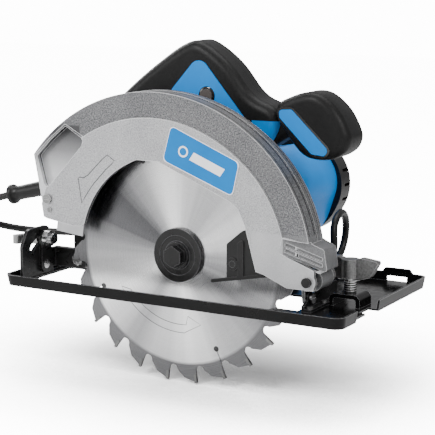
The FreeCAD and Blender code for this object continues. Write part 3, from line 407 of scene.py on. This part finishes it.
MATERIALS = {
    # The plate's bright edge lines are painted highlights along its lip.
    "black_plate": surface("black_plate", grey(0.002), grey(0.005), (0.10, 0.24), grain=150, relief=0.05,
                           edge=(0.30, 0.30, 0.305), edge_width=0.0004, gloss=0.14),
    "bracket_black": surface("bracket_black", grey(0.003), grey(0.009), (0.24, 0.42), grain=300,
                             edge=(0.09, 0.09, 0.095), gloss=0.3),
    "cast_guard": guard_material(),
    "pressed_guard": surface("pressed_guard", (0.42, 0.42, 0.43), (0.58, 0.58, 0.59), (0.36, 0.46),
                             metal=1.0, grain=300, relief=0.04),
    "zinc": surface("zinc", grey(0.16), (0.34, 0.34, 0.335), (0.28, 0.5), metal=0.9, grain=450, relief=0.3,
                    edge=grey(0.55)),
    "wing_bolt_zinc": wing_bolt_material(),
    "bright_steel": surface("bright_steel", (0.5, 0.5, 0.51), grey(0.75), (0.15, 0.3), metal=1.0, grain=500),
    "blade_steel": blade_material(),
    "carbide": surface("carbide", grey(0.12), (0.26, 0.26, 0.255), (0.25, 0.45), metal=1.0, grain=700),
    "black_plastic": surface("black_plastic", grey(0.003), grey(0.007), (0.3, 0.48), grain=900,
                             edge=grey(0.03), gloss=0.3),
    "soft_grip": handle_material(),
    "grip_rubber": surface("grip_rubber", grey(0.003), grey(0.009), (0.36, 0.55), grain=1300, relief=0.3,
                           depth=0.0003, gloss=0.16),
    "gloss_black": surface("gloss_black", grey(0.003), grey(0.007), (0.10, 0.2), grain=300, relief=0.03,
                           coat=0.4),
    "button_brown": surface("button_brown", (0.045, 0.038, 0.034), (0.07, 0.06, 0.054), (0.35, 0.5),
                            grain=600),
    # The blue plastic and the blue label glow a little of their own: painted light that brightens their blue.
    "blue_plastic": surface("blue_plastic", BLUE_DARK, BLUE_LIGHT, (0.36, 0.5), grain=700, relief=0.06,
                            glow=0.25, gloss=0.15),
    "label_blue": surface("label_blue", (0.0, 0.12, 0.35), (0.0, 0.14, 0.40), (0.4, 0.5), grain=300,
                          glow=0.5, gloss=0.08),
    "label_white": surface("label_white", (0.78, 0.79, 0.81), (0.9, 0.9, 0.92), (0.35, 0.45), grain=300),
    "engraved": surface("engraved", grey(0.03), grey(0.07), (0.5, 0.7), grain=500),
    "copper": surface("copper", (0.5, 0.22, 0.1), (0.7, 0.36, 0.18), (0.25, 0.4), metal=1.0, grain=600),
    "graphite": surface("graphite", grey(0.04), grey(0.08), (0.5, 0.7)),
    "cord_rubber": surface("cord_rubber", grey(0.003), grey(0.008), (0.35, 0.5), grain=800, gloss=0.25),
    "brass_pin": surface("brass_pin", (0.6, 0.42, 0.15), (0.75, 0.58, 0.28), (0.2, 0.35), metal=1.0),
}


def paint(node, material):
    """Give a CAD node one material."""
    data = NODES[node].data
    data.materials.clear()
    data.materials.append(MATERIALS[material])


for entry in frame["record"]["subparts"]:
    paint(entry["node"], entry["material_slot"])
paint("side_label", "label_white")
paint("depth_pin", "black_plastic")
paint("lock_off_button", "button_brown")
paint("fence_wing_bolt", "wing_bolt_zinc")
paint("housing_screws", "zinc")


def bevel(names, width_mm, segments=3):
    """Round the sharp edges of CAD nodes."""
    for name in names:
        modifier = NODES[name].modifiers.new("edge", "BEVEL")
        modifier.width = width_mm * MM
        modifier.segments = segments
        modifier.limit_method = "ANGLE"
        modifier.angle_limit = math.radians(35)
        modifier.harden_normals = True


bevel(["upper_guard", "base_plate", "front_bracket", "rear_quadrant"], 0.5)
bevel(["fence_bridge"], 2.5, 5)
bevel(["fence_wing_bolt", "bevel_wing_bolt", "guard_lever", "depth_lever", "plug"], 0.9)
bevel(["front_tilt_bracket", "rear_tilt_bracket", "gear_housing", "depth_arm"], 0.4)
bevel(["handle_inset", "front_grip_inset", "lock_off_button", "side_label"], 0.5)


# ------------------------------------------------------------------ mesh helpers

FARWARD = Vector((0, 1, 0))


def mesh_piece(name, points, faces, material, body, smooth=False):
    """New piece of one material that moves with a body."""
    mesh = bpy.data.meshes.new(name)
    mesh.from_pydata([tuple(point) for point in points], [], faces)
    mesh.update()
    piece = bpy.data.objects.new(name, mesh)
    bpy.context.scene.collection.objects.link(piece)
    piece.data.materials.append(MATERIALS[material])
    if smooth:
        for polygon in mesh.polygons:
            polygon.use_smooth = True
    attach(piece, body)
    return piece


def revolve(name, start, direction, profile, material, body, around=40):
    """Surface of revolution from (distance, radius) pairs in millimetres."""
    axis = direction.normalized()
    side = axis.orthogonal().normalized()
    up = axis.cross(side)
    points = []
    for distance, radius in profile:
        for i in range(around):
            turn = 2 * math.pi * i / around
            arm = side * math.cos(turn) + up * math.sin(turn)
            points.append(start + axis * distance * MM + arm * radius * MM)
    faces = []
    for ring in range(len(profile) - 1):
        for i in range(around):
            j = (i + 1) % around
            a = ring * around
            b = a + around
            faces.append((a + i, a + j, b + j, b + i))
    faces.append(tuple(range(around))[::-1])
    faces.append(tuple(range((len(profile) - 1) * around, len(profile) * around)))
    return mesh_piece(name, points, faces, material, body, smooth=True)


# ------------------------------------------------------------------ camera, light, floor

camera_data = bpy.data.cameras.new("camera")
camera_data.lens = LENS_MM
camera_data.sensor_width = SENSOR_MM
camera = bpy.data.objects.new("camera", camera_data)
bpy.context.scene.collection.objects.link(camera)
camera.location = CAMERA_AT
aim = Vector(CAMERA_AIM) - Vector(CAMERA_AT)
camera.rotation_euler = aim.to_track_quat("-Z", "Y").to_euler()
bpy.context.scene.camera = camera

floor_z = BLADE_AT.z - FLOOR_DROP
floor_corners = [(FLOOR_HALF * x, FLOOR_HALF * y, floor_z) for x, y in ((-1, -1), (1, -1), (1, 1), (-1, 1))]
floor_mesh = bpy.data.meshes.new("floor")
floor_mesh.from_pydata(floor_corners, [], [(0, 1, 2, 3)])
floor = bpy.data.objects.new("floor", floor_mesh)
bpy.context.scene.collection.objects.link(floor)


def floor_material():
    """White paper as bright to the camera as the backdrop, with a painted soft shadow where ambient occlusion
    darkens its glow.
    """
    material, tree, shader = new_material("floor_paper")
    paper = ramp(tree, noise(tree, 30, 3.0), [(0.3, grey(0.80)), (0.7, grey(0.82))])
    tree.links.new(paper, shader.inputs["Base Color"])
    shader.inputs["Roughness"].default_value = 0.8
    path = add_node(tree, "ShaderNodeLightPath")
    tree.links.new(paper, shader.inputs["Emission Color"])
    # Painted shadow: the glow is darkened where the floor is occluded.
    shade = add_node(tree, "ShaderNodeAmbientOcclusion", samples=8)
    shade.inputs["Distance"].default_value = SHADOW_REACH
    lit = calc(tree, "POWER", shade.outputs["AO"], SHADOW_POWER)
    glow = product(tree, path.outputs["Is Camera Ray"], FLOOR_GLOW, lit)
    tree.links.new(glow, shader.inputs["Emission Strength"])
    return material


floor.data.materials.append(floor_material())


def area_light(name, place, target, size, watts):
    data = bpy.data.lights.new(name, "AREA")
    data.shape = "RECTANGLE"
    data.size = size[0]
    data.size_y = size[1]
    data.energy = watts
    light = bpy.data.objects.new(name, data)
    bpy.context.scene.collection.objects.link(light)
    light.location = place
    light.rotation_euler = (Vector(target) - Vector(place)).to_track_quat("-Z", "Y").to_euler()


area_light("key", (-0.55, -1.5, 1.35), STUDIO_AIM, (0.4, 0.4), 34)
area_light("right", (1.7, -1.1, 1.5), STUDIO_AIM, (0.4, 0.4), 30)
area_light("top", (0.0, 0.3, 1.6), STUDIO_AIM, (1.2, 0.9), 20)
area_light("rim", (-1.3, 0.7, 0.9), (0, 0, 0.1), (0.6, 0.8), 12)
area_light("left", (-1.7, -1.3, 0.5), STUDIO_AIM, (0.5, 0.7), 14)


def studio_world():
    """Pale room with a bright band above the horizon to reflect, and a white backdrop for the camera."""
    world = bpy.data.worlds.new("studio")
    world.use_nodes = True
    tree = world.node_tree
    background = tree.nodes["Background"]
    direction = add_node(tree, "ShaderNodeTexCoord")
    upward = add_node(tree, "ShaderNodeSeparateXYZ")
    tree.links.new(direction.outputs["Generated"], upward.inputs["Vector"])
    height = calc(tree, "MULTIPLY_ADD", upward.outputs["Z"], 0.5, 0.5)
    room = ramp(tree, height, [(0.30, grey(0.30)), (0.52, grey(0.26)), (0.62, (0.75, 0.75, 0.76)),
                               (0.9, grey(0.4))])
    path = add_node(tree, "ShaderNodeLightPath")
    backdrop = mix_colour(tree, path.outputs["Is Camera Ray"], room, grey(1.0))
    tree.links.new(backdrop, background.inputs["Color"])
    glow = calc(tree, "MULTIPLY_ADD", path.outputs["Is Camera Ray"], BACKDROP_GLOW - 1.0, 1.0)
    tree.links.new(glow, background.inputs["Strength"])
    return world


bpy.context.scene.world = studio_world()


# ------------------------------------------------------------------ marks and grips

# Y of the printed and engraved marks, in millimetres about the blade centre, just proud of what carries them.
GUARD_MARK_Y = -22.04
BLADE_MARK_Y = -0.94
LABEL_Y = -22.64
LABEL_PRINT_Y = -22.68


def flat_piece(name, outline, y, material, body):
    """Flat patch facing -Y from an outline of (x, z) millimetres about the blade centre."""
    points = [at(x, y, z) for x, z in outline]
    return mesh_piece(name, points, [tuple(range(len(points)))], material, body)


def stroke(name, outline, y, width, material, body):
    """Thin line of even width along a closed outline of (x, z) millimetres."""
    count = len(outline)
    inner, outer = [], []
    for i, (x, z) in enumerate(outline):
        before = outline[i - 1]
        after = outline[(i + 1) % count]
        along = Vector((after[0] - before[0], after[1] - before[1])).normalized()
        inner.append(at(x - along.y * width / 2, y, z + along.x * width / 2))
        outer.append(at(x + along.y * width / 2, y, z - along.x * width / 2))
    faces = []
    for i in range(count):
        j = (i + 1) % count
        faces.append((i, j, count + j, count + i))
    return mesh_piece(name, inner + outer, faces, material, body)


def arc_points(radius, first, last, count, centre=(0, 0)):
    """Points on an arc from one angle in degrees to another."""
    points = []
    for i in range(count + 1):
        turn = math.radians(first + (last - first) * i / count)
        points.append((centre[0] + radius * math.cos(turn), centre[1] + radius * math.sin(turn)))
    return points


GUARD_ARROW = [(-61.8, 87.8), (-54.2, 83.2), (-56.6, 80.5), (-63.8, 74.3), (-70.6, 67.2), (-76.5, 61.2),
               (-81.6, 54.7), (-86.1, 48.3), (-90, 42), (-93.6, 64.2), (-92.4, 65.6), (-87.7, 65.3),
               (-82.9, 68.2), (-75, 75.9), (-67.2, 83.6)]
stroke("guard_arrow", GUARD_ARROW, GUARD_MARK_Y, 0.8, "engraved", "saw")

blade_arrow = arc_points(71.5, -150, -86, 16)
blade_arrow += [(7, -70), (22, -62), (8.5, -55.5)]
blade_arrow += arc_points(64, -84, -144, 16)
stroke("blade_arrow", blade_arrow, BLADE_MARK_Y, 0.55, "engraved", "arbor")

# Dark discs in the round ends of the blade's four expansion slots.
SLOT_DEG = -65.2
SLOT_R = 90
SLOT_DISC_R, SLOT_DISC_THICK = 2.55, 1.4
for k in range(4):
    turn = math.radians(SLOT_DEG + 90 * k)
    near_end = at(SLOT_R * math.cos(turn), -SLOT_DISC_THICK / 2, SLOT_R * math.sin(turn))
    plug = [(0, SLOT_DISC_R), (SLOT_DISC_THICK, SLOT_DISC_R)]
    revolve("slot_disc_%d" % k, near_end, FARWARD, plug, "engraved", "arbor")


def rounded(corners, radius, count=6):
    """Outline with its corners rounded, from (x, z) corners."""
    outline = []
    total = len(corners)
    for i in range(total):
        here = Vector(corners[i])
        back = (Vector(corners[i - 1]) - here).normalized() * radius
        ahead = (Vector(corners[(i + 1) % total]) - here).normalized() * radius
        for k in range(count + 1):
            t = k / count
            point = here + back * (1 - t) ** 2 + ahead * t ** 2
            outline.append((point.x, point.y))
    return outline


LABEL = [(5.4, 117.6), (72.1, 90.1), (65.5, 61.5), (-3.0, 87.5)]
flat_piece("label_panel", rounded(LABEL, 5), LABEL_Y, "label_blue", "saw")

LABEL_MIDDLE = Vector((35, 89))
LABEL_ALONG = Vector((0.927, -0.375))
LABEL_ACROSS = Vector((0.375, 0.927))
# The ring's place along the label, its radius and how many points it has.
RING_U, RING_R, RING_POINTS = -19, 4.2, 24


def on_label(u, v):
    """Point on the label: u along its length and v up it, millimetres from its middle."""
    point = LABEL_MIDDLE + LABEL_ALONG * u + LABEL_ACROSS * v
    return (point.x, point.y)


ring = []
for i in range(RING_POINTS):
    turn = 2 * math.pi * i / RING_POINTS
    ring.append(on_label(RING_U + RING_R * math.cos(turn), RING_R * math.sin(turn)))
stroke("label_ring", ring, LABEL_PRINT_Y, 1.6, "label_white", "saw")
bar = [on_label(u, v) for u, v in ((-11, -4), (22, -4), (24, 4), (-9, 4))]
flat_piece("label_bar", bar, LABEL_PRINT_Y, "label_white", "saw")


def smooth_outline(points, pieces=6):
    """Closed curve through the points, as Catmull-Rom."""
    outline = []
    count = len(points)
    for i in range(count):
        p0, p1, p2, p3 = (Vector(points[(i + k - 1) % count]) for k in range(4))
        for step in range(pieces):
            t = step / pieces
            point = 0.5 * (2 * p1 + (p2 - p0) * t + (2 * p0 - 5 * p1 + 4 * p2 - p3) * t * t
                           + (3 * p1 - p0 - 3 * p2 + p3) * t * t * t)
            outline.append(point)
    return outline


def pillow(name, outline, y0, y1, edge_r, material, body, steps=7):
    """Solid between two Y faces whose rims are rounded by edge_r."""
    count = len(outline)
    inward = []
    for i in range(count):
        along = (outline[(i + 1) % count] - outline[i - 1]).normalized()
        inward.append(Vector((along.y, -along.x)))
    middle = sum(outline, Vector((0, 0))) / count
    if (middle - outline[0]).dot(inward[0]) < 0:
        inward = [-step for step in inward]
    rings = []
    for i in range(steps + 1):
        turn = math.pi / 2 * i / steps
        rings.append((y0 + edge_r * (1 - math.sin(turn)), edge_r * (1 - math.cos(turn))))
    rings = rings[::-1] + [(y0 + y1 - y, inset) for y, inset in rings]
    points = []
    for y, inset in rings:
        points += [at(p.x + step.x * inset, y, p.y + step.y * inset) for p, step in zip(outline, inward)]
    faces = []
    for k in range(len(rings) - 1):
        for i in range(count):
            j = (i + 1) % count
            faces.append((k * count + i, k * count + j, (k + 1) * count + j, (k + 1) * count + i))
    faces.append(tuple(range(count))[::-1])
    faces.append(tuple(range((len(rings) - 1) * count, len(rings) * count)))
    piece = mesh_piece(name, points, faces, material, body, smooth=True)
    for cap in piece.data.polygons[-2:]:
        cap.use_smooth = False
    return piece


FRONT_GRIP = [(82, 136), (93, 142.5), (107, 147), (119, 147), (130, 141.5), (141, 131), (148.5, 118),
              (151, 109), (148, 100), (140, 93.5), (130, 90), (119.5, 89.5), (108, 92), (98.5, 100),
              (89.5, 111.5), (81.5, 124)]
NECK_FRONT = (92, 120)
NECK_BACK = (70, 107.5)
NECK = arc_points(9.6, -60, 108, 14, NECK_FRONT) + arc_points(11, 120, 288, 14, NECK_BACK)
grip = pillow("front_grip_body", smooth_outline(FRONT_GRIP), 25, 62, 8, "grip_rubber", "saw")
pillow("front_grip_neck", [Vector(point) for point in NECK], 34.2, 57.8, 5, "grip_rubber", "saw")
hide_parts("front_grip")

INSET_FRAME_Y = 24.6
INSET = [(85.5, 131.5), (97.5, 132.5), (133, 99), (129, 94), (117, 95), (86, 125)]
stroke("inset_frame", rounded(INSET, 3, 4), INSET_FRAME_Y, 4.0, "gloss_black", "saw")

BUTTON_RIM_AT = at(12, 27.0, 140)
revolve("button_rim", BUTTON_RIM_AT, FARWARD, [(0, 6.6), (0.1, 8.2), (1.4, 8.6)], "gloss_black", "saw")


# ------------------------------------------------------------------ cord

CORD_D = 7.0 * MM
GLAND_START = at(-137, 34, 50.6)
GLAND_END = at(-213, 34, 32)
# The hank has two turns in each of two layers.
HANK_BACK, HANK_FRONT, HANK_Y = -12.0, 42.0, 83.0
OUTER_R, INNER_R = 29.5, 22.2
LOW_Z, HIGH_Z = -30.4, -23.1
# The turn that stands on edge over the plate's lip, and how far it shifts aside in 360 degrees.
LOOP_AT = (92.5, 136, 1.7)
LOOP_R = 24.0
LOOP_TURN = math.radians(95)
LOOP_LEAN = 0.05
LOOP_PITCH = 7.2


def hank_turn(radius, next_radius, z, next_z):
    """One turn round the hank, clockwise from above, that ends on the next turn's radius and height."""
    points = [at(x, HANK_Y + radius, z) for x in (HANK_BACK, 15, HANK_FRONT)]
    for degrees in (60, 30, 0, -30, -60):
        turn = math.radians(degrees)
        points.append(at(HANK_FRONT + radius * math.cos(turn), HANK_Y + radius * math.sin(turn), z))
    points += [at(x, HANK_Y - radius, z) for x in (HANK_FRONT, 15, HANK_BACK)]
    for step, degrees in enumerate((-120, -150, -180, -210, -240)):
        share = (step + 1) / 6
        here = radius + (next_radius - radius) * share
        turn = math.radians(degrees)
        x = HANK_BACK + here * math.cos(turn)
        y = HANK_Y + here * math.sin(turn)
        points.append(at(x, y, z + (next_z - z) * share))
    return points


def upright_turn():
    """The turn that stands on edge, from its foot up the far side, over the top and down the near side."""
    points = []
    for degrees in range(0, 241, 30):
        turn = math.radians(degrees)
        along = LOOP_R * math.sin(turn)
        up = -LOOP_R * math.cos(turn)
        aside = LOOP_PITCH * (degrees / 360 - 0.5)
        x = LOOP_AT[0] + along * math.cos(LOOP_TURN) + aside * math.sin(LOOP_TURN) + up * LOOP_LEAN
        y = LOOP_AT[1] + along * math.sin(LOOP_TURN) - aside * math.cos(LOOP_TURN)
        points.append(at(x, y, LOOP_AT[2] + up))
    return points


route = [GLAND_END, at(-256, 34, 21), at(-284, 64, -2), at(-262, 102, -18), at(-212, 120, -20),
         at(-160, 119, -15), at(-118, 116, -21), at(-74, 112.5, -30.4), at(-34, 112.5, -30.4)]
route += hank_turn(OUTER_R, INNER_R, LOW_Z, LOW_Z)
route += hank_turn(INNER_R, INNER_R, LOW_Z, HIGH_Z)
route += hank_turn(INNER_R, OUTER_R, HIGH_Z, HIGH_Z)
route += hank_turn(OUTER_R, OUTER_R, HIGH_Z, HIGH_Z)
route += [at(-12, 112.5, HIGH_Z), at(15, 112.5, HIGH_Z), at(44, 111.5, -24), at(63, 108, -29.5),
          at(79, 112, -30.4), at(88, 123, -27.5)]
route += upright_turn()
route += [at(98, 114.5, -2), at(96.5, 113.5, -10), at(92, 113.5, -16.5), at(85, 114.5, -21), at(76, 117, -23),
          at(64, 121, -25), at(50, 125, -29), at(34, 125, -29.5), at(20, 125, -27), at(6, 125, -25)]

cord_curve = bpy.data.curves.new("power_cord_line", "CURVE")
cord_curve.dimensions = "3D"
spline = cord_curve.splines.new("NURBS")
spline.points.add(len(route) - 1)
for point, place in zip(spline.points, route):
    point.co = (*place, 1)
spline.order_u = 3
spline.use_endpoint_u = True
cord_curve.bevel_depth = CORD_D / 2
cord_curve.bevel_resolution = 6
cord_curve.resolution_u = 10
cord_curve.use_fill_caps = True
cord = bpy.data.objects.new("power_cord_line", cord_curve)
bpy.context.scene.collection.objects.link(cord)
cord.data.materials.append(MATERIALS["cord_rubber"])
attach(cord, "saw")
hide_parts("power_cord", "cord_hank")

reach = (GLAND_END - GLAND_START).length / MM
gland = revolve("cord_guard_sleeve", GLAND_START, GLAND_END - GLAND_START,
                [(0, 7.9), (reach * 0.3, 7.7), (reach - 14, 7.0), (reach - 6, 7.3), (reach - 5, 9.0),
                 (reach - 4.2, 9.6), (reach - 1, 9.6), (reach - 0.2, 8.8), (reach, 5.0)],
                "cord_rubber", "saw")
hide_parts("cord_guard")
